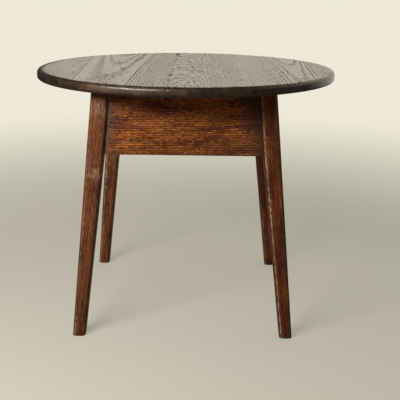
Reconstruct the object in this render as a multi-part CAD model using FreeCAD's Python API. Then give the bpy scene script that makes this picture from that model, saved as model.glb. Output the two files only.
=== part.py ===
"""Round oak tavern table: a plank top with a rounded edge on a splayed and pegged frame.

Sizes are in millimetres, with +Z up and the front towards -Y. The origin is on the floor,
under the middle of the top. Each piece is written to its own STEP file.
"""

import FreeCAD, Part
import math
import os

from FreeCAD import Vector

# Round top, three boards that run front to back
TABLE_HEIGHT = 710.0
TOP_DIAMETER = 850.0
TOP_THICKNESS = 26.0
EDGE_UPPER_ROUND = 10.0  # radius of the edge's upper round, with an upright face below it
EDGE_LOWER_ROUND = 7.0
LEFT_SEAM_SHARE = -0.087  # the places of the two seams, as shares of the top's radius
RIGHT_SEAM_SHARE = 0.348

# Loose tongues that key the boards together along the seams
TONGUE_THICKNESS = 6.0
TONGUE_WIDTH = 18.0
TONGUE_STOP = 45.0  # from the end of the seam, so that no tongue shows at the edge
GROOVE_CLEARANCE = 0.1

# Splayed legs, straight outside and tapered on their two inner faces below the aprons
FRAME_SHARE = 0.573  # of the top's diameter, over the legs' outer faces right under the top
SPLAY_DEG = 5.1  # lean of every outer face from the vertical
LEG_WIDTH = 47.5
FOOT_WIDTH = 35.0
LEG_CHAMFER = 6.0
FOOT_EASING = 2.5

# Aprons, which lean with the legs
APRON_HEIGHT = 180.0
APRON_THICKNESS = 24.0
APRON_SETBACK = 12.0  # from the outer face of the legs
APRON_EASING = 2.0

# Twin tenons at each end of an apron, mitred where two aprons meet inside a leg
TENON_THICKNESS = 9.0
TENON_MARGIN = 16.0  # from the apron's top or bottom edge to the nearest tenon
TENON_SPACING = 32.0  # between the upper and the lower tenon
MITRE_GAP = 1.0
MORTISE_CLEARANCE = 0.1

# Pegs through the tenons
PEG_DIAMETER = 8.0
PEG_LENGTH = 36.0
PEG_PROUD = 0.6
PEG_EASING = 0.5
PEG_POINT_LENGTH = 6.0
PEG_POINT_DIAMETER = 6.0
PEG_FROM_SHOULDER = 13.0
PEG_STAGGER = 8.0  # keeps the pegs of two neighbouring aprons apart inside their leg
PEG_CLEARANCE = 0.05

# Screws that hold the top down, in sloping pockets inside the aprons
SCREW_DIAMETER = 4.2
SCREW_HEAD_DIAMETER = 8.4
SCREW_HEAD_LAND = 0.5
SCREW_POINT_LENGTH = 6.0
SCREW_SLOT_WIDTH = 1.1
SCREW_SLOT_DEPTH = 1.3
SCREW_CLEARANCE = 0.05
SCREW_COVER = 8.0  # wood left between a screw's point and the top's surface
POCKET_DEPTH = 20.0  # from the apron's top edge down to the screw's head
POCKET_DIAMETER = 11.0
POCKET_TILT_DEG = 15.0
POCKET_FROM_SHOULDER = 98.0  # along the side aprons

# Places that follow from the sizes above
TOP_RADIUS = TOP_DIAMETER / 2
LEFT_SEAM_X = LEFT_SEAM_SHARE * TOP_RADIUS
RIGHT_SEAM_X = RIGHT_SEAM_SHARE * TOP_RADIUS
UNDERSIDE = TABLE_HEIGHT - TOP_THICKNESS
FRAME_WIDTH = FRAME_SHARE * TOP_DIAMETER
APRON_BOTTOM = UNDERSIDE - APRON_HEIGHT
TENON_HEIGHT = (APRON_HEIGHT - TENON_SPACING) / 2 - TENON_MARGIN
TENON_SPANS = [
    (APRON_BOTTOM + TENON_MARGIN, APRON_BOTTOM + TENON_MARGIN + TENON_HEIGHT),
    (UNDERSIDE - TENON_MARGIN - TENON_HEIGHT, UNDERSIDE - TENON_MARGIN),
]
SPLAY = math.radians(SPLAY_DEG)
POCKET_TILT = math.radians(POCKET_TILT_DEG)
UP = Vector(0, 0, 1)

# The corner that each leg stands in, as the signs of X and Y
LEGS = {
    "front_left": (-1, -1),
    "front_right": (1, -1),
    "back_left": (-1, 1),
    "back_right": (1, 1),
}

# The two legs that each apron joins, and the way that its outer face looks
APRONS = {
    "front": (("front_left", "front_right"), Vector(0, -1, 0)),
    "back": (("back_left", "back_right"), Vector(0, 1, 0)),
    "left": (("front_left", "back_left"), Vector(-1, 0, 0)),
    "right": (("front_right", "back_right"), Vector(1, 0, 0)),
}


def runs_left_to_right(side):
    return side in ("front", "back")


def sides_of(leg):
    """The two aprons that a leg joins."""
    return [side for side, (ends, _) in APRONS.items() if leg in ends]


def frame_half(z):
    """Half the width over the legs' outer faces at height z."""
    return FRAME_WIDTH / 2 + (UNDERSIDE - z) * math.tan(SPLAY)


def in_leg(leg, side, along, across, z):
    """The point at height z that lies `across` inside the leg's outer face on one side of the
    table, and `along` inside its other outer face, where the apron of that side ends."""
    x_sign, y_sign = LEGS[leg]
    in_x, in_y = (along, across) if runs_left_to_right(side) else (across, along)
    return Vector(x_sign * (frame_half(z) - in_x), y_sign * (frame_half(z) - in_y), z)


def outline(points):
    return Part.makePolygon(points + points[:1])


def stacked(rings):
    """The solid with flat faces through level rings of equally many points."""
    faces = [Part.Face(outline(ring)) for ring in (rings[0], rings[-1])]
    for low, high in zip(rings, rings[1:]):
        for i in range(len(low)):
            faces.append(Part.Face(outline([low[i - 1], low[i], high[i], high[i - 1]])))
    return Part.Solid(Part.Shell(faces))


def turned(profile):
    """The solid turned about Z from points of radius and height."""
    face = Part.Face(outline([Vector(radius, 0, height) for radius, height in profile]))
    return face.revolve(Vector(0, 0, 0), UP, 360)


def placed(shape, foot, axis):
    """The shape with its own Z along axis and its own origin at foot."""
    shape.Placement = FreeCAD.Placement(foot, FreeCAD.Rotation(UP, axis))
    return shape


def joint_peg_heads(leg, side):
    """Where the two pegs of a joint enter the leg's face, and the way that they stick out."""
    _, outward = APRONS[side]
    axis = outward * math.cos(SPLAY) + UP * math.sin(SPLAY)
    stagger = PEG_STAGGER if runs_left_to_right(side) else -PEG_STAGGER
    along = LEG_WIDTH - PEG_FROM_SHOULDER
    heights = [(low + high) / 2 + stagger for low, high in TENON_SPANS]
    return [(in_leg(leg, side, along, 0, z), axis) for z in heights]


def joint_pegs(leg, side):
    """The two pegs of a joint, pointed inside the leg and eased at their heads."""
    radius = PEG_DIAMETER / 2
    length = PEG_LENGTH + PEG_PROUD
    profile = [
        (0, 0),
        (PEG_POINT_DIAMETER / 2, 0),
        (radius, PEG_POINT_LENGTH),
        (radius, length - PEG_EASING),
        (radius - PEG_EASING, length),
        (0, length),
    ]
    pegs = [
        placed(turned(profile), head - axis * PEG_LENGTH, axis)
        for head, axis in joint_peg_heads(leg, side)
    ]
    return Part.makeCompound(pegs)


def joint_peg_holes(leg):
    """The holes for all the pegs in a leg, open at its outer faces."""
    radius = PEG_DIAMETER / 2 + PEG_CLEARANCE
    depth = PEG_LENGTH + PEG_CLEARANCE
    return [
        Part.makeCylinder(radius, depth + PEG_DIAMETER, head - axis * depth, axis)
        for side in sides_of(leg)
        for head, axis in joint_peg_heads(leg, side)
    ]


def tenon(leg, side, span, root, grow, gap):
    """One tenon, or with grow its mortise, from beyond the leg's inner face to the mitre."""
    outer = APRON_SETBACK + (APRON_THICKNESS - TENON_THICKNESS) / 2 - grow
    inner = outer + TENON_THICKNESS + 2 * grow
    start = LEG_WIDTH + root
    section = [(start, outer), (start, inner), (inner + gap, inner), (outer + gap, outer)]
    levels = (span[0] - grow, span[1] + grow)
    return stacked([[in_leg(leg, side, u, v, z) for u, v in section] for z in levels])


def tenons(leg, side):
    return [tenon(leg, side, span, TENON_THICKNESS, 0, MITRE_GAP) for span in TENON_SPANS]


def mortises(leg, side):
    """The rooms for an apron's tenons, which run into those of the leg's other apron."""
    grow = MORTISE_CLEARANCE
    return [tenon(leg, side, span, grow, grow, -grow) for span in TENON_SPANS]


def leg_ring(leg, z, width, inset=0):
    """A leg's chamfered square at height z, drawn in by inset all round."""
    low = inset
    high = width - inset
    near = low + LEG_CHAMFER
    far = high - LEG_CHAMFER
    corners = [
        (near, low), (far, low), (high, near), (high, far),
        (far, high), (near, high), (low, far), (low, near),
    ]
    return [in_leg(leg, "front", u, v, z) for u, v in corners]


def build_leg(leg):
    eased_width = FOOT_WIDTH + (LEG_WIDTH - FOOT_WIDTH) * FOOT_EASING / APRON_BOTTOM
    blank = stacked([
        leg_ring(leg, 0, FOOT_WIDTH, FOOT_EASING),
        leg_ring(leg, FOOT_EASING, eased_width),
        leg_ring(leg, APRON_BOTTOM, LEG_WIDTH),
        leg_ring(leg, UNDERSIDE, LEG_WIDTH),
    ])
    cuts = joint_peg_holes(leg)
    for side in sides_of(leg):
        cuts += mortises(leg, side)
    return blank.cut(cuts)


def top_screw_axes(side):
    """Where each screw of an apron crosses the apron's top edge, and the way that it points."""
    _, outward = APRONS[side]
    axis = outward * math.sin(POCKET_TILT) + UP * math.cos(POCKET_TILT)
    middle = frame_half(UNDERSIDE) - APRON_SETBACK - APRON_THICKNESS / 2
    shoulder = frame_half(UNDERSIDE) - LEG_WIDTH
    key = TONGUE_WIDTH / 2
    if runs_left_to_right(side):
        bearings = [
            (-shoulder, LEFT_SEAM_X - key),
            (LEFT_SEAM_X + key, RIGHT_SEAM_X - key),
            (RIGHT_SEAM_X + key, shoulder),
        ]
        points = [Vector((low + high) / 2, 0, UNDERSIDE) for low, high in bearings]
    else:
        reach = shoulder - POCKET_FROM_SHOULDER
        points = [Vector(0, y, UNDERSIDE) for y in (-reach, reach)]
    return [(point + outward * middle, axis) for point in points]


def top_screw(crossing, axis, grow=0):
    """A countersunk screw with its head in the pocket, or with grow the hole that takes it."""
    radius = SCREW_DIAMETER / 2
    head_radius = SCREW_HEAD_DIAMETER / 2
    neck = SCREW_HEAD_LAND + head_radius - radius
    length = POCKET_DEPTH + (TOP_THICKNESS - SCREW_COVER) / math.cos(POCKET_TILT)
    profile = [
        (0, -grow),
        (head_radius + grow, -grow),
        (head_radius + grow, SCREW_HEAD_LAND + grow),
        (radius + grow, neck + grow),
        (radius + grow, length - SCREW_POINT_LENGTH),
        (0, length + grow),
    ]
    screw = turned(profile)
    if not grow:
        corner = Vector(-head_radius, -SCREW_SLOT_WIDTH / 2, 0)
        screw = screw.cut(Part.makeBox(2 * head_radius, SCREW_SLOT_WIDTH, SCREW_SLOT_DEPTH, corner))
    return placed(screw, crossing - axis * POCKET_DEPTH, axis)


def top_screws(side):
    return Part.makeCompound([top_screw(*place) for place in top_screw_axes(side)])


def top_screw_holes(side):
    return [top_screw(*place, SCREW_CLEARANCE) for place in top_screw_axes(side)]


def screw_pockets(side):
    """The round pockets that open in an apron's inner face, below its screws' heads."""
    length = APRON_THICKNESS / math.sin(POCKET_TILT + SPLAY)
    return [
        Part.makeCylinder(POCKET_DIAMETER / 2, length, crossing - axis * POCKET_DEPTH, axis * -1)
        for crossing, axis in top_screw_axes(side)
    ]


def apron_ring(side, z, inset=0):
    """An apron's section at height z between its legs, drawn in by inset at both faces."""
    (first, second), _ = APRONS[side]
    outer = APRON_SETBACK + inset
    inner = APRON_SETBACK + APRON_THICKNESS - inset
    corners = [(first, outer), (second, outer), (second, inner), (first, inner)]
    return [in_leg(leg, side, LEG_WIDTH, across, z) for leg, across in corners]


def build_apron(side):
    """An apron board with its tenons, bored for its pegs and screws."""
    ends, _ = APRONS[side]
    board = stacked([
        apron_ring(side, APRON_BOTTOM, APRON_EASING),
        apron_ring(side, APRON_BOTTOM + APRON_EASING),
        apron_ring(side, UNDERSIDE),
    ])
    cuts = top_screw_holes(side) + screw_pockets(side)
    for leg in ends:
        board = board.fuse(tenons(leg, side))
        cuts += joint_peg_holes(leg)
    return board.removeSplitter().cut(cuts)


def edge_round(flat, radius, sign):
    """A quarter round of the top's edge, and its ends on the flat and on the upright face."""
    diagonal = math.sqrt(0.5) * radius
    centre = Vector(TOP_RADIUS - radius, 0, flat + sign * radius)
    on_flat = centre - UP * sign * radius
    halfway = centre + Vector(diagonal, 0, -sign * diagonal)
    on_rim = centre + Vector(radius, 0, 0)
    return Part.Arc(on_flat, halfway, on_rim).toShape(), on_flat, on_rim


def build_disc():
    """The whole top before it is parted, with an upright edge between two rounds."""
    upper, flat_end, rim_high = edge_round(TABLE_HEIGHT, EDGE_UPPER_ROUND, -1)
    lower, underside_end, rim_low = edge_round(UNDERSIDE, EDGE_LOWER_ROUND, 1)
    centre_high = Vector(0, 0, TABLE_HEIGHT)
    centre_low = Vector(0, 0, UNDERSIDE)
    edges = [
        Part.makeLine(centre_low, centre_high),
        Part.makeLine(centre_high, flat_end),
        upper,
        Part.makeLine(rim_high, rim_low),
        lower,
        Part.makeLine(underside_end, centre_low),
    ]
    return Part.Face(Part.Wire(edges)).revolve(Vector(0, 0, 0), UP, 360)


def seam_tongue(seam_x, grow=0):
    """The loose tongue of a seam, or with grow the grooves that it lies in."""
    flat_radius = TOP_RADIUS - EDGE_UPPER_ROUND
    half_length = math.sqrt(flat_radius**2 - seam_x**2) - TONGUE_STOP + grow
    width = TONGUE_WIDTH + 2 * grow
    thickness = TONGUE_THICKNESS + 2 * grow
    low = UNDERSIDE + (TOP_THICKNESS - thickness) / 2
    corner = Vector(seam_x - width / 2, -half_length, low)
    return Part.makeBox(width, 2 * half_length, thickness, corner)


def build_boards():
    """The boards of the top, grooved for their tongues and bored for their screws."""
    cuts = [seam_tongue(seam_x, GROOVE_CLEARANCE) for seam_x in (LEFT_SEAM_X, RIGHT_SEAM_X)]
    for side in APRONS:
        cuts += top_screw_holes(side)
    disc = build_disc().cut(cuts)
    edges = {
        "left": (-TOP_DIAMETER, LEFT_SEAM_X),
        "middle": (LEFT_SEAM_X, RIGHT_SEAM_X),
        "right": (RIGHT_SEAM_X, TOP_DIAMETER),
    }
    boards = {}
    for name, (low, high) in edges.items():
        corner = Vector(low, -TOP_DIAMETER, UNDERSIDE - TOP_THICKNESS)
        slab = Part.makeBox(high - low, 2 * TOP_DIAMETER, 3 * TOP_THICKNESS, corner)
        boards[name] = disc.common(slab)
    return boards


os.makedirs("parts", exist_ok=True)
nodes = {f"top_board_{name}": board for name, board in build_boards().items()}
nodes["top_tongue_left"] = seam_tongue(LEFT_SEAM_X)
nodes["top_tongue_right"] = seam_tongue(RIGHT_SEAM_X)
for leg in LEGS:
    nodes[f"leg_{leg}"] = build_leg(leg)
for side, (ends, _) in APRONS.items():
    nodes[f"apron_{side}"] = build_apron(side)
    nodes[f"top_screws_{side}"] = top_screws(side)
    for leg in ends:
        end = leg.replace(side, "").strip("_")
        nodes[f"pegs_{side}_apron_{end}"] = joint_pegs(leg, side)
for name, shape in nodes.items():
    shape.exportStep(f"parts/{name}.step")
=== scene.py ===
import math

import bmesh
import bpy
from mathutils import Matrix, Vector, noise


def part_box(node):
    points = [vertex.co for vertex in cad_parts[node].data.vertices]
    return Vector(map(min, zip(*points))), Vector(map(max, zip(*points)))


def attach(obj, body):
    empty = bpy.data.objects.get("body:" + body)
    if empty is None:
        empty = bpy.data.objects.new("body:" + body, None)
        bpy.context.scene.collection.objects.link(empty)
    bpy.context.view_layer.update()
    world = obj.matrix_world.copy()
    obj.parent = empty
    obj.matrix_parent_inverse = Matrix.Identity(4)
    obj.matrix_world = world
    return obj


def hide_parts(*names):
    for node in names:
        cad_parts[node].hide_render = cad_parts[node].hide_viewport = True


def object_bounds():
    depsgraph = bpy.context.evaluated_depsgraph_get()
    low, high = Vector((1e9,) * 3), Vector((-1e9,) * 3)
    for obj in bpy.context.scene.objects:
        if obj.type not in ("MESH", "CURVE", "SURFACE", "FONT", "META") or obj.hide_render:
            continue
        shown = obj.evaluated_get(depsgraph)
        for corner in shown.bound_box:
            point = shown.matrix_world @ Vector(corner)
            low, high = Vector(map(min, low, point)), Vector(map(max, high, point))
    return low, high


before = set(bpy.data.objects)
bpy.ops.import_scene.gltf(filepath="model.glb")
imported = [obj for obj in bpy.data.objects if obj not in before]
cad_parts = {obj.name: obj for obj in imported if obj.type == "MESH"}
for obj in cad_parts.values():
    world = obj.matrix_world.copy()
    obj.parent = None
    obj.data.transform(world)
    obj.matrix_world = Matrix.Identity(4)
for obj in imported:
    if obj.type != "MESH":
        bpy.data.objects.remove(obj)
cad_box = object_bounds()


# Legs
# Four oak legs that splay both ways, sawn square, tapered on their two inner faces below the
# aprons, and chamfered along all four arrises with a plane. They hold the aprons' tenons.
MM = 0.001
TOP_RADIUS = cad_box[1][0]
FRAME_HALF = 0.573 * TOP_RADIUS  # from the middle to the legs' outer faces, right under the top
LEG_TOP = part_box("leg_front_left")[1][2]
APRON_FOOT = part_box("apron_front")[0][2]
SPLAY = math.tan(math.radians(5.1))
LEG_WIDTH = 47.5 * MM
FOOT_WIDTH = 35 * MM
CHAMFER = 6 * MM
FOOT_EASING = 2.5 * MM
FOOT_ARC = ((0, 1), (0.13, 0.5), (0.5, 0.13), (1, 0))  # up and in, as shares of the easing
RING_STEP = 8 * MM  # from one outline of a leg to the next
ARRIS_WEAR = 1.6 * MM  # how far the edges of the chamfers are rubbed round
WEAR_CHANGE = 0.6  # the share of it that changes along a leg
WEAR_CHANGES = 12  # how often it changes in a metre
PLANE_WAVE = 0.25 * MM  # how uneven the hand plane left the faces
WAVES_ACROSS, WAVES_ALONG = 40, 14  # how many of its waves go into a metre
SHARP_BEND = math.radians(40)  # faces that meet at more than this keep a sharp edge
CORNERS = {
    "front_left": (-1, -1), "front_right": (1, -1),
    "back_left": (-1, 1), "back_right": (1, 1),
}


def frame_half(z):
    """From the middle of the table to the legs' outer faces at height z."""
    return FRAME_HALF + (LEG_TOP - z) * SPLAY


def leg_width(z):
    """The width of a leg, which tapers from the aprons down to the foot."""
    return LEG_WIDTH - (LEG_WIDTH - FOOT_WIDTH) * max(0, 1 - z / APRON_FOOT)


def leg_ring(corner, z, inset):
    """A leg's outline at height z, its chamfers rubbed round, drawn in by inset at the foot."""
    x_sign, y_sign = CORNERS[corner]
    half = leg_width(z) / 2 - inset
    flat = half - CHAMFER
    arrises = [Vector(p) for p in (
        (-flat, -half), (flat, -half), (half, -flat), (half, flat),
        (flat, half), (-flat, half), (-half, flat), (-half, -flat),
    )]
    ring = []
    for i, arris in enumerate(arrises):
        before = arrises[i - 1]
        after = arrises[(i + 1) % len(arrises)]
        # Each arris of each leg follows a line of its own through the noise
        change = noise.noise(Vector((7 * i, 11 * x_sign + 5 * y_sign, WEAR_CHANGES * z)))
        rub = ARRIS_WEAR * (1 + WEAR_CHANGE * change)
        start = arris + (before - arris).normalized() * rub
        end = arris + (after - arris).normalized() * rub
        ring += [start, (start + 2 * arris + end) / 4, end]
        between = (0.25, 0.5, 0.75) if i % 2 == 0 else (0.5,)  # on a face, and on a chamfer
        ring += [arris.lerp(after, share) for share in between]
    centre = frame_half(z) - leg_width(z) / 2
    points = []
    for across in ring:
        wave = 1 - noise.noise(Vector((
            WAVES_ACROSS * across.x + 9 * x_sign,
            WAVES_ACROSS * across.y + 9 * y_sign,
            WAVES_ALONG * z,
        )))
        across = across - across.normalized() * PLANE_WAVE * wave
        points.append(Vector((x_sign * (centre - across.x), y_sign * (centre - across.y), z)))
    return points


def into_scene(name, data):
    """A new object in the scene, made of a mesh, a lamp or a camera."""
    thing = bpy.data.objects.new(name, data)
    bpy.context.collection.objects.link(thing)
    return thing


def skin(name, rings):
    """A closed piece with four-sided faces between rings of equally many points."""
    count = len(rings[0])
    last = count * (len(rings) - 1)
    faces = [tuple(range(count)), tuple(range(last, last + count))]
    for start in range(0, last, count):
        for i in range(count):
            j = (i + 1) % count
            faces.append((start + i, start + j, start + count + j, start + count + i))
    mesh = bpy.data.meshes.new(name)
    mesh.from_pydata([point for ring in rings for point in ring], [], faces)
    return into_scene(name, mesh)


def paint(piece, name, kind, value_at):
    """Keeps a value for each point of a piece, which its material reads by that name."""
    data = piece.data.attributes.new(name, kind, "POINT").data
    for item, vertex in zip(data, piece.data.vertices):
        setattr(item, "value" if kind == "FLOAT" else "vector", value_at(vertex.co))


def put_in_place(piece, material, node):
    """Gives a finished mesh its material, and lets it stand for its CAD node."""
    shape = bmesh.new()
    shape.from_mesh(piece.data)
    bmesh.ops.recalc_face_normals(shape, faces=shape.faces)
    shape.to_mesh(piece.data)
    shape.free()
    piece.data.shade_smooth()
    piece.data.set_sharp_from_angle(angle=SHARP_BEND)
    piece.data.materials.append(material)
    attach(piece, "root")
    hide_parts(node)


def ease(value, low, high):
    """0 below low, 1 above high and smooth between them."""
    share = min(1, max(0, (value - low) / (high - low)))
    return share * share * (3 - 2 * share)


def tone(hex_code):
    """An sRGB hex colour as linear RGBA."""
    channels = [int(hex_code[i:i + 2], 16) / 255 for i in (1, 3, 5)]
    return [c / 12.92 if c <= 0.04045 else ((c + 0.055) / 1.055) ** 2.4 for c in channels] + [1]


def feed(tree, node, inputs):
    """Links each named input of a node to an output, or sets it to a constant value."""
    for key, value in inputs.items():
        if isinstance(value, bpy.types.NodeSocket):
            tree.links.new(value, node.inputs[key])
        else:
            node.inputs[key].default_value = value


def add(tree, kind, inputs, out=0, **settings):
    """Adds a node with its settings and links, and returns one of its outputs."""
    node = tree.nodes.new("ShaderNode" + kind)
    for name, value in settings.items():
        setattr(node, name, value)
    feed(tree, node, inputs)
    return node.outputs[out]


def new_finish(name):
    """An empty material, its node tree and its surface shader."""
    material = bpy.data.materials.new(name)
    material.use_nodes = True
    return material, material.node_tree, material.node_tree.nodes["Principled BSDF"]


STREAKS_PER_METRE = (45, 45, 8)  # streaks of stain, about 22 mm wide and 125 mm long
FLECKS_PER_METRE = (260, 260, 75)  # rays, about 4 mm wide and 13 mm long
CROWDING = 0.14  # how many more pores open in a ring's dark band
PORE_DEPTH = 0.3 * MM
DULLING = 0.25  # how much rougher open pores and thick dirt are than wax
WAX_IOR = 1.5


def oak(name, tones, log, wax, marks=()):
    """Stained and waxed oak, cut from a log that lies across and along the piece.

    Growth rings follow from the distance to the log's pith, so faces, edges and ends show one
    figure. Each ring starts with a dark, open band of pores. The wax shines between the pores,
    and less in them. Three values are painted on the mesh: grain, which is the place across,
    into and along the piece; dirt_and_shade, the dirt and the painted shade, which darken it;
    and wear_and_sheen, the rubbed arrises and painted highlights and sheen, which pale it.
    A MapRange takes a value (0), its range (1 and 2) and what that range becomes (3 and 4).
    """
    material, tree, shader = new_finish(name)
    grain = add(tree, "Attribute", {}, 1, attribute_name="grain")
    dirt_and_shade = add(tree, "Attribute", {}, 2, attribute_name="dirt_and_shade")
    wear_and_sheen = add(tree, "Attribute", {}, 2, attribute_name="wear_and_sheen")

    # The grain wanders to the sides in slow bends
    across, along = (1 / length for length in log["bend"])
    reach = (log["wander"], log["wander"], 0)
    bend = add(tree, "VectorMath", {0: grain, 1: (across, across, along)}, operation="MULTIPLY")
    bend = add(tree, "TexNoise", {"Vector": bend, "Scale": 1, "Detail": 2}, 1)
    bend = add(tree, "VectorMath", {0: bend, 1: (0.5, 0.5, 0.5)}, operation="SUBTRACT")
    bend = add(tree, "VectorMath", {0: bend, 1: reach}, operation="MULTIPLY")
    wood = add(tree, "VectorMath", {0: grain, 1: bend}, operation="ADD")

    # Distance from the pith, which rises or falls along the piece, and may bow
    slant = (1, 0, -log["drift"])
    side = add(tree, "VectorMath", {0: wood, 1: slant}, 1, operation="DOT_PRODUCT")
    side = add(tree, "Math", {0: side, 1: log["pith"][0]}, operation="SUBTRACT")
    slope = (0, 1, -log["tilt"])
    depth = add(tree, "VectorMath", {0: wood, 1: slope}, 1, operation="DOT_PRODUCT")
    bow = add(tree, "SeparateXYZ", {0: wood}, 2)
    bow = add(tree, "Math", {0: bow, 1: bow}, operation="MULTIPLY")
    depth = add(tree, "Math", {0: bow, 1: -log["bow"], 2: depth}, operation="MULTIPLY_ADD")
    depth = add(tree, "Math", {0: depth, 1: log["pith"][1]}, operation="SUBTRACT")
    radius = add(tree, "CombineXYZ", {0: side, 1: depth})
    radius = add(tree, "VectorMath", {0: radius}, 1, operation="LENGTH")

    # Broad streaks where the stain took more or less
    streak = add(tree, "VectorMath", {0: wood, 1: STREAKS_PER_METRE}, operation="MULTIPLY")
    streak = add(tree, "TexNoise", {"Vector": streak, "Scale": 1, "Detail": 3})
    streak = add(tree, "MapRange", {0: streak, 1: 0.36, 2: 0.66})

    # Rings counted from the first, with two widths of their own and then one for all the rest.
    # Some years have a darker band than others.
    one, two, later = log["ring"]
    on_second, on_later = 1 - one / two, 2 - (one + two) / later
    grown = add(tree, "Math", {0: radius, 1: log["first"]}, operation="SUBTRACT")
    ring = add(tree, "Math", {0: grown, 1: 1 / one}, operation="MULTIPLY")
    second = add(tree, "Math", {0: grown, 1: 1 / two, 2: on_second}, operation="MULTIPLY_ADD")
    ring = add(tree, "Math", {0: ring, 1: second}, operation="MINIMUM")
    rest = add(tree, "Math", {0: grown, 1: 1 / later, 2: on_later}, operation="MULTIPLY_ADD")
    ring = add(tree, "Math", {0: ring, 1: rest}, operation="MAXIMUM")
    year = add(tree, "Math", {0: ring}, operation="FLOOR")
    year = add(tree, "TexWhiteNoise", {"W": year}, noise_dimensions="1D")
    year = add(tree, "MapRange", {0: year, 3: 0.6, 4: 1})

    # A band starts sharply with the ring and fades over its share of it
    share = add(tree, "Math", {0: ring}, operation="FRACT")
    fades = add(tree, "MapRange", {0: share, 1: 0, 2: log["band"], 3: 1, 4: 0},
                interpolation_type="SMOOTHSTEP")
    starts = add(tree, "MapRange", {0: share, 1: 0.93, 2: 1, 3: 0, 4: 1},
                 interpolation_type="SMOOTHSTEP")
    band = add(tree, "Math", {0: fades, 1: starts}, operation="MAXIMUM")
    crowd = add(tree, "Math", {0: band, 1: year}, operation="MULTIPLY")

    # It spreads and pales where its ring lies flat in the face, and on the log's faded side
    steep = add(tree, "Math", {0: side, 1: radius}, operation="DIVIDE")
    steep = add(tree, "Math", {0: steep}, operation="ABSOLUTE")
    steep = add(tree, "MapRange", {0: steep, 1: 0, 2: 0.4, 3: log["flat"], 4: 1},
                interpolation_type="SMOOTHSTEP")
    pale_to, fresh_from = log["fade"]
    fresh = add(tree, "MapRange", {0: side, 1: pale_to, 2: fresh_from, 3: 0.7, 4: 1})
    band = add(tree, "Math", {0: crowd, 1: steep}, operation="MULTIPLY")
    band = add(tree, "Math", {0: band, 1: fresh}, operation="MULTIPLY")
    patchy = add(tree, "MapRange", {0: streak, 3: 0.7, 4: 1})
    band = add(tree, "Math", {0: band, 1: patchy}, operation="MULTIPLY")

    # Pores, thin dashes along the grain that crowd into the bands
    width, length = log["pore"]
    pores = (1 / width, 1 / width, 1 / length)
    closed, opened = log["open"]
    dash = add(tree, "VectorMath", {0: wood, 1: pores}, operation="MULTIPLY")
    dash = add(tree, "TexNoise", {"Vector": dash, "Scale": 1, "Detail": 2})
    dash = add(tree, "Math", {0: crowd, 1: CROWDING, 2: dash}, operation="MULTIPLY_ADD")
    dash = add(tree, "MapRange", {0: dash, 1: closed, 2: opened}, interpolation_type="SMOOTHSTEP")
    dash = add(tree, "Math", {0: dash, 1: fresh}, operation="MULTIPLY")

    # Rays, short pale flecks that lie across the rings, and along which worn arrises chip
    fleck = add(tree, "VectorMath", {0: wood, 1: FLECKS_PER_METRE}, operation="MULTIPLY")
    fleck = add(tree, "TexNoise", {"Vector": fleck, "Scale": 1, "Detail": 1})
    chipped = add(tree, "MapRange", {0: fleck, 1: 0.4, 2: 0.6, 3: 0.3, 4: 1.4})
    fleck = add(tree, "MapRange", {0: fleck, 1: 0.58, 2: 0.7, 3: 0, 4: log["rays"]})

    # All that is dark: lines of the rings, pores, and marks in the wood as soft ovals
    dark = add(tree, "Math", {0: band, 1: log["line"]}, operation="MULTIPLY")
    dark = add(tree, "Math", {0: dash, 1: dark}, operation="MAXIMUM")
    for x, y, half_width, half_length, strength in marks:
        reach = (1 / half_width, 0, 1 / half_length)
        oval = add(tree, "VectorMath", {0: wood, 1: (x, 0, y)}, operation="SUBTRACT")
        oval = add(tree, "VectorMath", {0: oval, 1: reach}, operation="MULTIPLY")
        oval = add(tree, "VectorMath", {0: oval}, 1, operation="LENGTH")
        oval = add(tree, "MapRange", {0: oval, 1: 1, 2: 0.4, 3: 0, 4: strength},
                   interpolation_type="SMOOTHSTEP")
        dark = add(tree, "Math", {0: dark, 1: oval}, operation="MAXIMUM")

    # Colours from the wood outwards: late wood and streaks, rays, pores, dirt and painted shade,
    # rubbed places and painted highlights
    shades = {part: tone(hex_code) for part, hex_code in tones.items()}
    colour = add(tree, "Mix", {0: streak, 6: shades["late"], 7: shades["streak"]}, 2,
                 data_type="RGBA")
    colour = add(tree, "Mix", {0: fleck, 6: colour, 7: shades["ray"]}, 2, data_type="RGBA")
    colour = add(tree, "Mix", {0: dark, 6: colour, 7: shades["pore"]}, 2, data_type="RGBA")
    dirt_and_shade_amount = add(tree, "MapRange", {0: streak, 3: 0.92, 4: 1.08})
    dirt_and_shade_amount = add(tree, "Math", {0: dirt_and_shade_amount, 1: dirt_and_shade}, operation="MULTIPLY")
    colour = add(tree, "Mix", {0: dirt_and_shade_amount, 6: colour, 7: shades["dirt_and_shade"]}, 2, data_type="RGBA")
    rubbed_and_highlit = add(tree, "Math", {0: wear_and_sheen, 1: chipped}, operation="MULTIPLY")
    colour = add(tree, "Mix", {0: rubbed_and_highlit, 6: colour, 7: shades["wear_and_sheen"]}, 2, data_type="RGBA")

    # Wax shines on closed, clean wood. Pores, and places dark with dirt and painted shade, are
    # dull, and pores are also hollow.
    dull = add(tree, "MapRange", {0: dirt_and_shade, 1: 0.45, 2: 1})
    dull = add(tree, "Math", {0: dull, 1: dark}, operation="MAXIMUM")
    polished = wax["roughness"]
    rough = add(tree, "MapRange", {0: dull, 3: polished, 4: polished + DULLING})
    shine = add(tree, "MapRange", {0: dull, 3: wax["coat"], 4: 0})
    hollow = add(tree, "Math", {0: dark, 1: -1}, operation="MULTIPLY")
    bump = add(tree, "Bump", {"Height": hollow, "Strength": 0.5, "Distance": PORE_DEPTH})
    feed(tree, shader, {
        "Base Color": colour, "Roughness": rough, "Coat Weight": shine, "Normal": bump,
        "Specular IOR Level": wax["specular"], "Coat Roughness": wax["coat_roughness"],
        "Coat IOR": WAX_IOR,
    })
    return material


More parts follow.
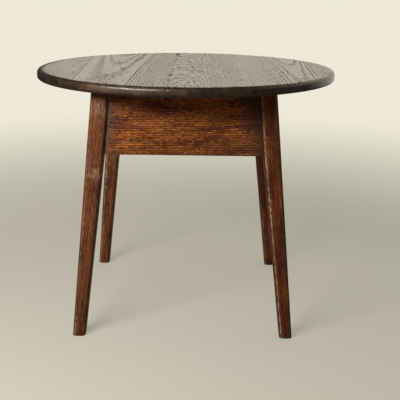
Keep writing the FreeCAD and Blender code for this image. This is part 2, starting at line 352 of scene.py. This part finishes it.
# Red-brown stain under old wax: streaky, with dark dashes of pores and a low shine. Real pores
# are 0.3 mm wide, and are drawn 1 mm wide here so that they show.
LEG_TONES = {
    "late": "#9c5122", "streak": "#562309", "ray": "#ac632e",
    "pore": "#331307", "dirt_and_shade": "#251107", "wear_and_sheen": "#b08a68",
}
FRAME_WAX = {"roughness": 0.42, "coat": 0.06, "coat_roughness": 0.3, "specular": 0.14}
LEG_LOG = {
    "pith": (0.10, 0.14),  # the place of the log's middle, across and into the piece
    "tilt": 0.01,  # how steeply it sinks into the piece along the length
    "drift": 0.004,  # how steeply it slants across the piece along the length
    "bow": 0,  # how much it curves into the piece along the length
    "first": 0,  # how far from the pith the first ring starts
    "ring": (6 * MM, 6 * MM, 6 * MM),  # widths of the first ring, the second and the later ones
    "band": 0.6,  # the share of a ring that its dark band takes
    "line": 0.35,  # how dark the band is
    "flat": 0.15,  # how much of it is left where the ring lies flat in the face
    "fade": (-1, -0.9),  # distances across the pith, from faded to fresh: here all is fresh
    "bend": (90 * MM, 500 * MM),  # how far apart the grain's bends are, across and along
    "wander": 3 * MM,  # how far the grain wanders in them
    "rays": 0.6,  # how strongly the rays show
    "pore": (1 * MM, 20 * MM),  # width and length of a pore
    "open": (0.38, 0.82),  # levels of noise at which a pore begins, and is fully open
}
leg_oak = oak("waxed oak of the legs", LEG_TONES, LEG_LOG, FRAME_WAX)

LEG_APART = 1.7  # how far along the log one leg was cut from the next
FOOT_DIRT = 0.35
# Painted shade at the head of each leg, under the top
HEAD_SHADE = 0.35
CHAMFER_SHADE = 0.75  # painted shade on the right half of each leg, as seen from the front, away from the lamp
JOINT_SHADE = 0.25  # painted shade beside the aprons, on top of the painted shade of the inner faces
RUBBED_AND_HIGHLIT_LEFT, RUBBED_RIGHT = 0.9, 0.2  # how pale the arrises on each half are made: rubbed, and on the left half, facing the lamp, also painted highlight
# How dark each leg took the stain, how much darker towards the foot, how much it has faded, which
# on the front left leg is partly a painted sheen, how much painted shade its inner faces have, and
# how dark the end of its foot is made
LEG_STATE = {
    "front_left": {"stain": 0.38, "low": 0.2, "faded_and_sheen": 0.05, "inner": 0.72, "foot": 0.35},
    "front_right": {"stain": 0.47, "low": 0.06, "faded_and_sheen": 0, "inner": 0.6, "foot": 0.35},
    "back_left": {"stain": 0.12, "low": 0.1, "faded_and_sheen": 0.1, "inner": 0.38, "foot": 0.35},
    "back_right": {"stain": 0, "low": 0.4, "faded_and_sheen": 0.03, "inner": 0.15, "foot": 0.85},
}
# Where chairs have rubbed the front left leg, as place, size and strength
SCUFFS = (
    (Vector((-0.236, -0.264, 0.455)), 24 * MM, 0.6),
    (Vector((-0.224, -0.251, 0.630)), 50 * MM, 0.34),
)

for number, corner in enumerate(CORNERS):
    state = LEG_STATE[corner]
    steps = round((LEG_TOP - FOOT_EASING) / RING_STEP)
    rings = [leg_ring(corner, up * FOOT_EASING, inset * FOOT_EASING) for up, inset in FOOT_ARC]
    for step in range(1, steps + 1):
        rings.append(leg_ring(corner, FOOT_EASING + (LEG_TOP - FOOT_EASING) * step / steps, 0))
    leg = skin("oak_leg_" + corner, rings)

    def in_leg(point):
        """How far a point lies from the leg's own middle, both ways, inwards counted up."""
        middle = frame_half(point.z) - leg_width(point.z) / 2
        return middle - abs(point.x), middle - abs(point.y)

    def leg_grain(point):
        return (*in_leg(point), point.z + LEG_APART * number)

    def on_chamfer(point):
        """1 on a chamfer, 0 on a face."""
        across, along = (abs(share) for share in in_leg(point))
        edge = leg_width(point.z) - CHAMFER
        return ease(across + along, edge - 2.5 * MM, edge - 0.5 * MM)

    def leg_wear_and_sheen(point):
        """Patches rubbed off the arrises, painted highlight on the left ones, the scuffs, and
        faded stain with painted sheen.
        """
        across, along = in_leg(point)
        half = leg_width(point.z) / 2
        arris = ease(abs(along), half - 2 * MM, half - 1 * MM)
        # On the left half, which faces the lamp, the pale arrises are partly a painted highlight
        rubbed_and_highlit = RUBBED_AND_HIGHLIT_LEFT if across * CORNERS[corner][0] > 0 else RUBBED_RIGHT
        patchy = 0.5 + noise.noise(Vector((15 * point.x, 15 * point.y, 9 * point.z)))
        scuffs = [strength * (1 - (point - place).length / size)
                  for place, size, strength in SCUFFS]
        return max(rubbed_and_highlit * on_chamfer(point) * arris * max(0, patchy), *scuffs, state["faded_and_sheen"])

    def leg_dirt_and_shade(point):
        """The stain, dirt and a darker end at the foot, and painted shade under the top, on right
        chamfers, on inner faces and beside the aprons.
        """
        foot = FOOT_DIRT * (1 - ease(point.z, 5 * MM, 60 * MM))
        foot = max(foot, state["foot"] * (1 - ease(point.z, 18 * MM, 26 * MM)))
        # Painted shade under the top
        head = HEAD_SHADE * ease(point.z, LEG_TOP - 60 * MM, LEG_TOP)
        # Painted shade on the chamfers of the right half, away from the lamp
        on_right = in_leg(point)[0] * CORNERS[corner][0] < 0
        chamfer = CHAMFER_SHADE * on_chamfer(point) if on_right else 0
        # Painted shade on the inner faces, deeper beside the aprons
        inner = 0
        if max(in_leg(point)) > leg_width(point.z) / 2 - 1.5 * MM:
            inner = JOINT_SHADE * ease(point.z, APRON_FOOT - 8 * MM, APRON_FOOT) + state["inner"]
        stain = state["stain"] + state["low"] * (1 - ease(point.z, 50 * MM, 400 * MM))
        return max(foot, head, chamfer, inner, stain)

    paint(leg, "grain", "FLOAT_VECTOR", leg_grain)
    paint(leg, "wear_and_sheen", "FLOAT", leg_wear_and_sheen)
    paint(leg, "dirt_and_shade", "FLOAT", leg_dirt_and_shade)
    put_in_place(leg, leg_oak, "leg_" + corner)


# Aprons
# Four deep oak boards that lean with the legs, set back from the legs' outer faces. They are
# tenoned into the legs, and their lower arrises are eased with a plane.
APRON_THICKNESS = 24 * MM
APRON_SETBACK = 12 * MM
APRON_EASING = 2 * MM
APRON_STEPS = 52  # along an apron
FACE_STEPS = 18  # up its face
WAVES_UP = 25  # waves of the plane in a metre of its height
SIDES = {"front": (0, -1), "back": (0, 1), "left": (-1, 0), "right": (1, 0)}

easing_turns = (0, math.pi / 6, math.pi / 3, math.pi / 2)
eased = [(1 - math.cos(turn), 1 - math.sin(turn)) for turn in easing_turns]
apron_section = [(APRON_EASING * inset, APRON_FOOT + APRON_EASING * up)
                 for inset, up in reversed(eased)]
face = [APRON_FOOT + APRON_EASING + (LEG_TOP - APRON_FOOT - APRON_EASING) * i / FACE_STEPS
        for i in range(1, FACE_STEPS + 1)]
apron_section += [(0, z) for z in face]
apron_section += [(APRON_THICKNESS - inset, z) for inset, z in reversed(apron_section)]


def apron_point(side, share, across, z):
    """The point a share of the way along an apron, at a depth behind its outer face."""
    out_x, out_y = SIDES[side]
    along = (2 * share - 1) * (frame_half(z) - LEG_WIDTH)
    # Each apron has a place of its own in the noise
    wave = 1 - noise.noise(Vector((
        WAVES_ALONG * along + 30 * out_x, WAVES_ACROSS * across + 30 * out_y, WAVES_UP * z,
    )))
    inward = PLANE_WAVE * wave if across < APRON_THICKNESS / 2 else -PLANE_WAVE * wave
    out = frame_half(z) - APRON_SETBACK - across - inward
    return Vector((out * out_x - along * out_y, out * out_y + along * out_x, z))


# The legs' stain and wax on straighter, more golden wood: even dark lines of the rings run
# along the board, broken up by short pores, which are drawn 1.3 mm wide so that they show.
APRON_TONES = {
    "late": "#b76829", "streak": "#692d10", "ray": "#cf873d",
    "pore": "#301205", "dirt_and_shade": "#261c18", "wear_and_sheen": "#a58a74",
}
APRON_LOG = LEG_LOG | {
    "pith": (-0.16, -0.05), "tilt": 0.012, "drift": 0.01,
    "ring": (6.2 * MM, 6.2 * MM, 6.2 * MM), "band": 0.75, "line": 1.0,
    "wander": 6 * MM, "rays": 0.8, "pore": (1.3 * MM, 11 * MM), "open": (0.37, 0.7),
}
apron_oak = oak("waxed oak of the aprons", APRON_TONES, APRON_LOG, FRAME_WAX)

APRON_APART = 2.3  # how far along the log one apron was cut from the next
# How dark an apron is made: dirty at its ends, with painted shade low on its right half and along
# its lower arris; and how pale it is made at its left end and in a thin line at the shoulder there
APRON_DIRT_AND_SHADE = {"left": 0.45, "right": 0.8, "low": 0.35, "arris": 0.7}
APRON_PALENESS = {"left": 0.12, "shoulder": 0.45}

for number, side in enumerate(SIDES):
    rings = [[apron_point(side, step / APRON_STEPS, *place) for place in apron_section]
             for step in range(APRON_STEPS + 1)]
    apron = skin("oak_apron_" + side, rings)
    out_x, out_y = SIDES[side]

    def on_apron(point):
        """How far a point lies along an apron from its middle, and out from the table's."""
        return point.x * -out_y + point.y * out_x, point.x * out_x + point.y * out_y

    def apron_grain(point):
        along, out = on_apron(point)
        depth = out - frame_half(point.z) + APRON_SETBACK
        return (point.z - APRON_FOOT, depth, along + APRON_APART * number)

    def apron_paleness(point):
        along, _ = on_apron(point)
        from_left = along + frame_half(point.z) - LEG_WIDTH
        # Paler at the left end and in a thin line at the shoulder
        left = 1 - ease(from_left, 0, 35 * MM)
        shoulder = 1 - ease(from_left, 0, 5 * MM)
        return max(APRON_PALENESS["left"] * left, APRON_PALENESS["shoulder"] * shoulder)

    def apron_dirt_and_shade(point):
        along, _ = on_apron(point)
        left = 1 - ease(along + frame_half(point.z) - LEG_WIDTH, 0, 60 * MM)
        right = 1 - ease(frame_half(point.z) - LEG_WIDTH - along, 0, 75 * MM)
        # Painted shade low on the right half and along the lower arris
        low = 1 - ease(point.z, APRON_FOOT + 30 * MM, APRON_FOOT + 70 * MM)
        arris = 1 - ease(point.z, APRON_FOOT + 1 * MM, APRON_FOOT + 3 * MM)
        return max(
            APRON_DIRT_AND_SHADE["left"] * left, APRON_DIRT_AND_SHADE["right"] * right,
            APRON_DIRT_AND_SHADE["low"] * low * ease(along, -20 * MM, 120 * MM), APRON_DIRT_AND_SHADE["arris"] * arris,
        )

    paint(apron, "grain", "FLOAT_VECTOR", apron_grain)
    paint(apron, "wear_and_sheen", "FLOAT", apron_paleness)
    paint(apron, "dirt_and_shade", "FLOAT", apron_dirt_and_shade)
    put_in_place(apron, apron_oak, "apron_" + side)


# Pegs
# Riven oak pegs, driven through the legs and tenons and pared off almost flush. Only their
# round ends show, two at each joint, stained with the legs.
PEG_PORE = 1 * MM
# End grain drinks stain, so it is a little darker than the leg and peppered with pores of
# 0.3 mm, drawn 1 mm wide so that they show.
peg_oak, tree, shader = new_finish("stained end grain of the pegs")
place = add(tree, "TexCoord", {}, 3)
speck = add(tree, "TexVoronoi", {"Vector": place, "Scale": 1 / PEG_PORE})
speck = add(tree, "MapRange", {0: speck, 1: 0.2, 2: 0.5})
colour = add(tree, "Mix", {0: speck, 6: tone("#4a2611"), 7: tone("#7a4522")}, 2, data_type="RGBA")
rough = add(tree, "MapRange", {0: speck, 3: 0.7, 4: 0.5})
feed(tree, shader, {"Base Color": colour, "Roughness": rough, "Specular IOR Level": 0.25})


def dress(nodes, material):
    """Gives CAD nodes that keep their own shape a better material."""
    for node in nodes:
        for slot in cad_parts[node].material_slots:
            slot.material = material


dress([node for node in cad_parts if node.startswith("pegs_")], peg_oak)


# Round top
# Three flat-sawn oak boards, edge to edge from front to back, cut to a circle. Its upright edge
# is rounded above and below. Wear has eased the seams, opened the left one in three places and
# dented the edge a little.
TOP_HEIGHT = cad_box[1][2]
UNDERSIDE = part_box("top_board_left")[0][2]
SEAMS = (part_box("top_board_left")[1][0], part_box("top_board_right")[0][0])
UPPER_ROUND = 10 * MM
LOWER_ROUND = 7 * MM
SEAM_EASING = 0.6 * MM
SEAM_CUTS = (12 * MM, 3 * MM, 0)  # distances from a seam of the lines of points beside it
ON_SEAM = 0.001 * MM  # points this near to a seam lie on it
WELD = 0.02 * MM  # points this near to each other become one
# Where the left seam has opened: place along it, half length and depth
OPENINGS = ((0.375, 50 * MM, 5 * MM), (-0.185, 26 * MM, 3.5 * MM), (-0.29, 22 * MM, 3.5 * MM))
SURFACE_WAVE = 0.3 * MM  # how uneven the surface has become
SURFACE_WAVES = 9  # in a metre
EDGE_WEAR = 0.5 * MM  # how deep the dents in the edge are
EDGE_DENTS = 28  # in a metre
AROUND = 360  # points around the circle
ROUND_STEPS = 8
UPPER_RINGS = 26
UNDER_RINGS = 10

flat_radius = TOP_RADIUS - UPPER_ROUND
quarter = [math.pi / 2 * i / ROUND_STEPS for i in range(ROUND_STEPS + 1)]
profile = [(flat_radius * i / UPPER_RINGS, TOP_HEIGHT) for i in range(2, UPPER_RINGS)]
profile += [(flat_radius + UPPER_ROUND * math.sin(turn),
             TOP_HEIGHT - UPPER_ROUND * (1 - math.cos(turn))) for turn in quarter]
profile.append((TOP_RADIUS, (TOP_HEIGHT - UPPER_ROUND + UNDERSIDE + LOWER_ROUND) / 2))
profile += [(TOP_RADIUS - LOWER_ROUND * (1 - math.cos(turn)),
             UNDERSIDE + LOWER_ROUND * (1 - math.sin(turn))) for turn in quarter]
profile += [((TOP_RADIUS - LOWER_ROUND) * i / UNDER_RINGS, UNDERSIDE)
            for i in range(UNDER_RINGS - 1, 0, -1)]
circle = [2 * math.pi * i / AROUND for i in range(AROUND)]
disc = skin("whole_top", [
    [(radius * math.cos(turn), radius * math.sin(turn), z) for turn in circle]
    for radius, z in profile
])


def sawn_board(name, left, right):
    """One board of the round top, its seams eased and its surface a little uneven."""
    shape = bmesh.new()
    shape.from_mesh(disc.data)
    bmesh.ops.recalc_face_normals(shape, faces=shape.faces)
    for seam, sign in ((left, -1), (right, 1)):
        if abs(seam) >= TOP_RADIUS:
            continue
        for inside in SEAM_CUTS:
            bmesh.ops.bisect_plane(
                shape, geom=shape.verts[:] + shape.edges[:] + shape.faces[:],
                plane_co=(seam - sign * inside, 0, 0), plane_no=(sign, 0, 0),
                clear_outer=inside == 0,
            )
        bmesh.ops.remove_doubles(shape, verts=shape.verts[:], dist=WELD)
        shape.normal_update()
        cut = [vert for vert in shape.verts if abs(vert.co.x - seam) < ON_SEAM]
        for vert in cut:
            above = vert.co.z > TOP_HEIGHT - 1 * MM
            vert.co -= vert.normal * SEAM_EASING
            vert.co.x = seam
            if above and seam == SEAMS[0]:
                for middle, half_length, depth in OPENINGS:
                    within = half_length - abs(vert.co.y - middle)
                    vert.co.z -= depth * ease(within, 0, half_length)
        bmesh.ops.holes_fill(shape, edges=[edge for edge in shape.edges if edge.is_boundary])
    for vert in shape.verts:
        rim = ease(Vector(vert.co.xy).length, flat_radius, TOP_RADIUS)
        surface = ease(vert.co.z, UNDERSIDE, TOP_HEIGHT)
        # Each board has waves of its own
        wave = 1 + noise.noise(vert.co * SURFACE_WAVES + Vector((left * 90, 0, 0)))
        vert.co.z -= SURFACE_WAVE * surface * wave
        dent = EDGE_WEAR * rim * (1 + noise.noise(vert.co * EDGE_DENTS))
        vert.co.xy -= Vector(vert.co.xy).normalized() * dent
    mesh = bpy.data.meshes.new(name)
    shape.to_mesh(mesh)
    shape.free()
    return into_scene(name, mesh)


# Brown stain under a hard wax polish, which mirrors pale light at a low angle and so looks grey
# from the front. The open bands of the rings stay rough and dark. Pores are drawn about 2.5 mm
# wide so that they show.
TOP_TONES = {
    "late": "#806248", "streak": "#624933", "ray": "#8a6b50",
    "pore": "#20130b", "dirt_and_shade": "#1d130c", "wear_and_sheen": "#5f4330",
}
TOP_WAX = {"roughness": 0.4, "coat": 1.0, "coat_roughness": 0.25, "specular": 0.14}
TOP_LOG = LEG_LOG | {"drift": 0, "pore": (2.4 * MM, 30 * MM), "open": (0.555, 0.745)}
BOARD_LOGS = {
    "left": TOP_LOG | {
        "pith": (-0.212, -0.200), "tilt": 0.0156, "bow": 0.0119, "first": 0.1976,
        "ring": (4.7 * MM, 13.3 * MM, 3.5 * MM), "band": 0.5, "line": 1.0, "fade": (-0.06, 0),
        "wander": 5 * MM, "rays": 0.3,
    },
    "middle": TOP_LOG | {
        "pith": (-0.005, -0.120), "tilt": -0.06, "first": 0.0895,
        "ring": (5 * MM, 5 * MM, 5 * MM), "band": 0.6, "line": 0.55, "flat": 0.8,
        "bend": (40 * MM, 130 * MM), "wander": 18 * MM, "rays": 0.8,
        "pore": (2.6 * MM, 16 * MM), "open": (0.515, 0.79),
    },
    "right": TOP_LOG | {
        "pith": (0.308, -0.080), "tilt": 0.0190, "bow": 0.02, "first": 0.0779,
        "ring": (6 * MM, 6 * MM, 5.4 * MM), "band": 0.45, "line": 0.8, "fade": (-0.105, -0.08),
        "wander": 6 * MM, "rays": 0.4,
    },
}
# Shakes along the left seam and a few dents, as x, y, half width, half length and darkness
MARKS = {
    "left": [
        (-0.040, 0.355, 4 * MM, 55 * MM, 0.8), (-0.040, -0.185, 3 * MM, 30 * MM, 0.8),
        (-0.040, -0.29, 3 * MM, 25 * MM, 0.8), (-0.305, -0.155, 4 * MM, 14 * MM, 0.7),
        (-0.215, -0.23, 32 * MM, 75 * MM, 0.3),
    ],
    "middle": [
        (-0.033, 0.355, 4 * MM, 55 * MM, 0.8), (-0.033, -0.185, 3 * MM, 30 * MM, 0.8),
        (-0.020, -0.025, 6 * MM, 25 * MM, 0.6),
    ],
    "right": [],
}
RUBBED_RIM = 0.1
SEAM_DIRT = 0.35
UNDER_SHADE = 0.97  # painted shade around the underside, next to the edge
# How dark hands have made the edge, and what is added or taken away: more dirt at its left end,
# a painted dark reflection along its upper arris, painted shade on the upright at its right end
# and on its lower half, a painted reflection paler on the upper round at its right end, and a
# painted highlight paler where the lamp shines on it
HANDLED = 0.87
ARRIS_REFLECTION_DARK = 0.97
LEFT_DARKER = 0.11
RIGHT_SHADE_DARKER = 0.1
RIGHT_REFLECTION_PALER = 0.66
HIGHLIGHT_PALER = 0.35
LOWER_SHADE = 0.94
LOWER_RIGHT_SHADE = 0.03
BEYOND = 1  # a place outside the circle, for boards that end at its edge

spans = {"left": (-BEYOND, SEAMS[0]), "middle": SEAMS, "right": (SEAMS[1], BEYOND)}
for name, (left, right) in spans.items():
    board = sawn_board("oak_board_" + name, left, right)

    def board_grain(point):
        return (point.x, point.z - TOP_HEIGHT, point.y)

    def board_worn(point):
        rim = ease(Vector(point.xy).length, flat_radius - 2 * MM, flat_radius + 5 * MM)
        return RUBBED_RIM * rim * ease(point.z, TOP_HEIGHT - UPPER_ROUND, TOP_HEIGHT)

    def board_dirt_and_shade(point):
        """Dirt in the seams and on the edge from hands; painted shade under and on the edge,
        painted reflections and a painted highlight.
        """
        # Parts of the edge from left to right
        left_end = 1 - ease(point.x, -0.40, -0.26)
        rubbed_and_highlit = ease(point.x, -0.30, -0.19) * (1 - ease(point.x, -0.1, 0.05))
        right_end = ease(point.x, 0.12, 0.32)
        far_right = ease(point.x, 0.3, 0.41)
        # Parts of it from the upper arris down
        arris = ease(point.z, TOP_HEIGHT - 4 * MM, TOP_HEIGHT - 2 * MM)
        upper = ease(point.z, TOP_HEIGHT - UPPER_ROUND, TOP_HEIGHT - 0.3 * UPPER_ROUND)
        lower = (1 - ease(point.z, UNDERSIDE + 3 * MM, UNDERSIDE + 15 * MM)) * (1 - far_right)
        # Painted shade under the edge
        under = 1 - ease(point.z, UNDERSIDE, UNDERSIDE + 2 * LOWER_ROUND)
        # Parts of the top from the middle out. At the left end the edge's darkness reaches into
        # the top as a painted dark reflection.
        out = Vector(point.xy).length
        under *= ease(out, TOP_RADIUS - 40 * MM, TOP_RADIUS - LOWER_ROUND)
        rim_start = flat_radius - (1 + 24 * left_end) * MM
        rim = ease(out, rim_start, flat_radius + (3 - 10 * left_end) * MM)
        seam = 1 - ease(min(abs(point.x - left), abs(point.x - right)), 0.5 * MM, 3 * MM)

        # The darkened upper arris is a painted dark reflection
        edge_dark = max(HANDLED + LEFT_DARKER * left_end, ARRIS_REFLECTION_DARK * arris)
        # Paler where the lamp shines on the edge: a painted highlight
        edge_dark -= HIGHLIGHT_PALER * rubbed_and_highlit * (1 - arris)
        # At the right end: painted shade on the upright, and a painted reflection, paler, on the
        # upper round
        edge_dark += right_end * (RIGHT_SHADE_DARKER * (1 - arris) - RIGHT_REFLECTION_PALER * max(upper, far_right))
        # Painted shade on the edge's lower half
        edge_dark += lower * max(0, LOWER_SHADE + LOWER_RIGHT_SHADE * right_end - edge_dark)
        return max(SEAM_DIRT * seam, UNDER_SHADE * under, edge_dark * rim)

    paint(board, "grain", "FLOAT_VECTOR", board_grain)
    paint(board, "wear_and_sheen", "FLOAT", board_worn)
    paint(board, "dirt_and_shade", "FLOAT", board_dirt_and_shade)
    finish = f"polished oak of the {name} board"
    board_oak = oak(finish, TOP_TONES, BOARD_LOGS[name], TOP_WAX, MARKS[name])
    put_in_place(board, board_oak, "top_board_" + name)
bpy.data.objects.remove(disc)


# Tongues
# Two loose tongues of bare oak, glued into grooves in the boards' edges to key the seams. They
# stop short of the rim and stay hidden inside the top.
LINE_GAP = 2 * MM
LINE_LENGTH = 60 * MM
# Fresh from the saw: pale, dry and dull, with grain lines about 2 mm apart.
tongue_oak, tree, shader = new_finish("bare sawn oak of the tongues")
place = add(tree, "TexCoord", {}, 3)
gaps = (1 / LINE_GAP, 1 / LINE_LENGTH, 1 / LINE_GAP)
lines = add(tree, "VectorMath", {0: place, 1: gaps}, operation="MULTIPLY")
lines = add(tree, "TexNoise", {"Vector": lines, "Scale": 1, "Detail": 3})
colour = add(tree, "Mix", {0: lines, 6: tone("#8c6b47"), 7: tone("#c4a173")}, 2, data_type="RGBA")
rough = add(tree, "MapRange", {0: lines, 3: 0.9, 4: 0.7})
feed(tree, shader, {"Base Color": colour, "Roughness": rough})
dress(("top_tongue_left", "top_tongue_right"), tongue_oak)


# Top screws
# Countersunk steel screws with a single slot, driven up through sloping pockets inside the
# aprons. They pull the boards down on to the frame.
RUST_PATCH = 3 * MM
# Old bright steel: grey, half dulled, with brown rust in patches of about 3 mm.
screw_steel, tree, shader = new_finish("dull turned steel of the screws")
place = add(tree, "TexCoord", {}, 3)
rust = add(tree, "TexNoise", {"Vector": place, "Scale": 1 / RUST_PATCH, "Detail": 3})
rust = add(tree, "MapRange", {0: rust, 1: 0.45, 2: 0.65})
colour = add(tree, "Mix", {0: rust, 6: tone("#8d8882"), 7: tone("#5a3a26")}, 2, data_type="RGBA")
rough = add(tree, "MapRange", {0: rust, 3: 0.4, 4: 0.8})
metal = add(tree, "MapRange", {0: rust, 3: 1, 4: 0.2})
feed(tree, shader, {"Base Color": colour, "Roughness": rough, "Metallic": metal})
dress(["top_screws_" + side for side in SIDES], screw_steel)


# Floor and studio
# A plain pale floor, one soft lamp at the front left, a little light from above, and a pale
# backdrop behind and to the right, which the polished top mirrors. All else is dim, so the frame
# keeps its depth of colour.
FLOOR_RADIUS = 12
FLOOR_FADE = (0.7, 3.5)  # distances over which the floor runs into the backdrop
FLOOR_PALE = 0.35  # how much of the backdrop's paleness the floor has near the table
KEY_PLACE = Vector((-0.94, -1.36, 1.19))
KEY_AIM = Vector((0, 0, 0.5))
KEY_SIZE = (1.0, 0.25)
KEY_POWER = 28
BACKDROP = 0.93
BACKDROP_TINT = "#f6f1de"
BACKDROP_SIDE = (1, 1, 0)  # it stands behind the table and to its right
BACKDROP_EDGE = (0.35, 0.75)  # where it runs out to the sides, as a share of that way
BACKDROP_TOP = (0.4, 0.75)  # where it runs out above, as a share of straight up
DIM = 0.16  # how bright all else is in a reflection
FILL = 0.055  # how much light it gives
OVERHEAD = 0.2  # how much more comes down from above

floor_shape = bmesh.new()
bmesh.ops.create_circle(floor_shape, cap_ends=True, segments=96, radius=FLOOR_RADIUS)
floor_mesh = bpy.data.meshes.new("floor")
floor_shape.to_mesh(floor_mesh)
floor_shape.free()
floor = into_scene("floor", floor_mesh)
# Dry, even paint with no shine, which keeps the table's shadow. Further off the eye sees it run
# into the backdrop without an edge. From below it is clear, so that the underside can be seen.
floor_paint, tree, shader = new_finish("matt pale floor paint")
feed(tree, shader, {"Base Color": tone("#bfb9ab"), "Roughness": 0.9, "Specular IOR Level": 0.1})
path = tree.nodes.new("ShaderNodeLightPath").outputs
place = add(tree, "TexCoord", {}, 3)
way = add(tree, "VectorMath", {0: place}, operation="NORMALIZE")
behind = add(tree, "VectorMath", {0: way, 1: BACKDROP_SIDE}, 1, operation="DOT_PRODUCT")
behind = add(tree, "MapRange", {0: behind, 1: BACKDROP_EDGE[0], 2: BACKDROP_EDGE[1]})
away = add(tree, "VectorMath", {0: place}, 1, operation="LENGTH")
away = add(tree, "MapRange", {0: away, 1: FLOOR_FADE[0], 2: FLOOR_FADE[1], 3: FLOOR_PALE, 4: 1},
           interpolation_type="SMOOTHSTEP")
mirrored = add(tree, "Math", {0: path["Is Glossy Ray"], 1: path["Is Transmission Ray"]},
               operation="MAXIMUM")
mirrored = add(tree, "Math", {0: mirrored, 1: behind}, operation="MULTIPLY")
mirrored = add(tree, "Math", {0: mirrored, 1: away}, operation="MULTIPLY")
seen = add(tree, "Math", {0: mirrored, 1: path["Is Camera Ray"]}, operation="MAXIMUM")
away = add(tree, "Math", {0: away, 1: seen}, operation="MULTIPLY")
pale = add(tree, "Emission", {"Color": tone(BACKDROP_TINT), "Strength": BACKDROP})
blend = add(tree, "MixShader", {0: away, 1: shader.outputs[0], 2: pale})
below = add(tree, "NewGeometry", {}, "Backfacing")
clear = add(tree, "BsdfTransparent", {})
blend = add(tree, "MixShader", {0: below, 1: blend, 2: clear})
feed(tree, tree.nodes["Material Output"], {"Surface": blend})
floor_mesh.materials.append(floor_paint)

lamp = bpy.data.lights.new("key", "AREA")
lamp.shape = "RECTANGLE"
lamp.size, lamp.size_y = KEY_SIZE
lamp.energy = KEY_POWER
key = into_scene("key", lamp)
key.location = KEY_PLACE
key.rotation_euler = (KEY_AIM - KEY_PLACE).to_track_quat("-Z", "Y").to_euler()
key.visible_camera = False

# The world is the pale backdrop to the camera. In reflections and as light it is the backdrop on
# that side only, and dim elsewhere.
world = bpy.data.worlds.new("studio")
bpy.context.scene.world = world
world.use_nodes = True
tree = world.node_tree
path = tree.nodes.new("ShaderNodeLightPath").outputs
way = add(tree, "TexCoord", {})
behind = add(tree, "VectorMath", {0: way, 1: BACKDROP_SIDE}, 1, operation="DOT_PRODUCT")
behind = add(tree, "MapRange", {0: behind, 1: BACKDROP_EDGE[0], 2: BACKDROP_EDGE[1]})
low = add(tree, "SeparateXYZ", {0: way}, 2)
low = add(tree, "MapRange", {0: low, 1: BACKDROP_TOP[0], 2: BACKDROP_TOP[1], 3: 1, 4: 0})
behind = add(tree, "Math", {0: behind, 1: low}, operation="MULTIPLY")
shown = add(tree, "MapRange", {0: behind, 3: DIM, 4: BACKDROP})
cast = add(tree, "MapRange", {0: behind, 3: FILL, 4: BACKDROP})
above = add(tree, "MapRange", {0: low, 3: OVERHEAD, 4: 0})
cast = add(tree, "Math", {0: cast, 1: above}, operation="ADD")
mirrored = add(tree, "Math", {0: path["Is Glossy Ray"], 1: path["Is Transmission Ray"]},
               operation="MAXIMUM")
strength = add(tree, "Mix", {0: mirrored, 2: cast, 3: shown})
strength = add(tree, "Mix", {0: path["Is Camera Ray"], 2: strength, 3: BACKDROP})
feed(tree, tree.nodes["Background"], {"Strength": strength, "Color": tone(BACKDROP_TINT)})


# Camera
# Where the photograph was taken from and how it was framed, worked out from the outlines of the
# top, the legs and the apron.
CAMERA_PLACE = (0.0514, -2.3068, 0.9761)
SENSOR = 36  # its width in millimetres, which the lens belongs to
LENS = 71.22
PITCH = math.radians(16.107)
PAN = math.radians(-0.183)
ROLL = math.radians(0.685)

turn = Matrix.Rotation(-PAN, 4, "Z") @ Matrix.Rotation(math.pi / 2 - PITCH, 4, "X")
turn = turn @ Matrix.Rotation(ROLL, 4, "Z")
camera_data = bpy.data.cameras.new("camera")
camera_data.sensor_width = SENSOR
camera_data.lens = LENS
camera = into_scene("camera", camera_data)
camera.matrix_world = Matrix.Translation(CAMERA_PLACE) @ turn
bpy.context.scene.camera = camera
bpy.context.scene.view_settings.view_transform = "Standard"
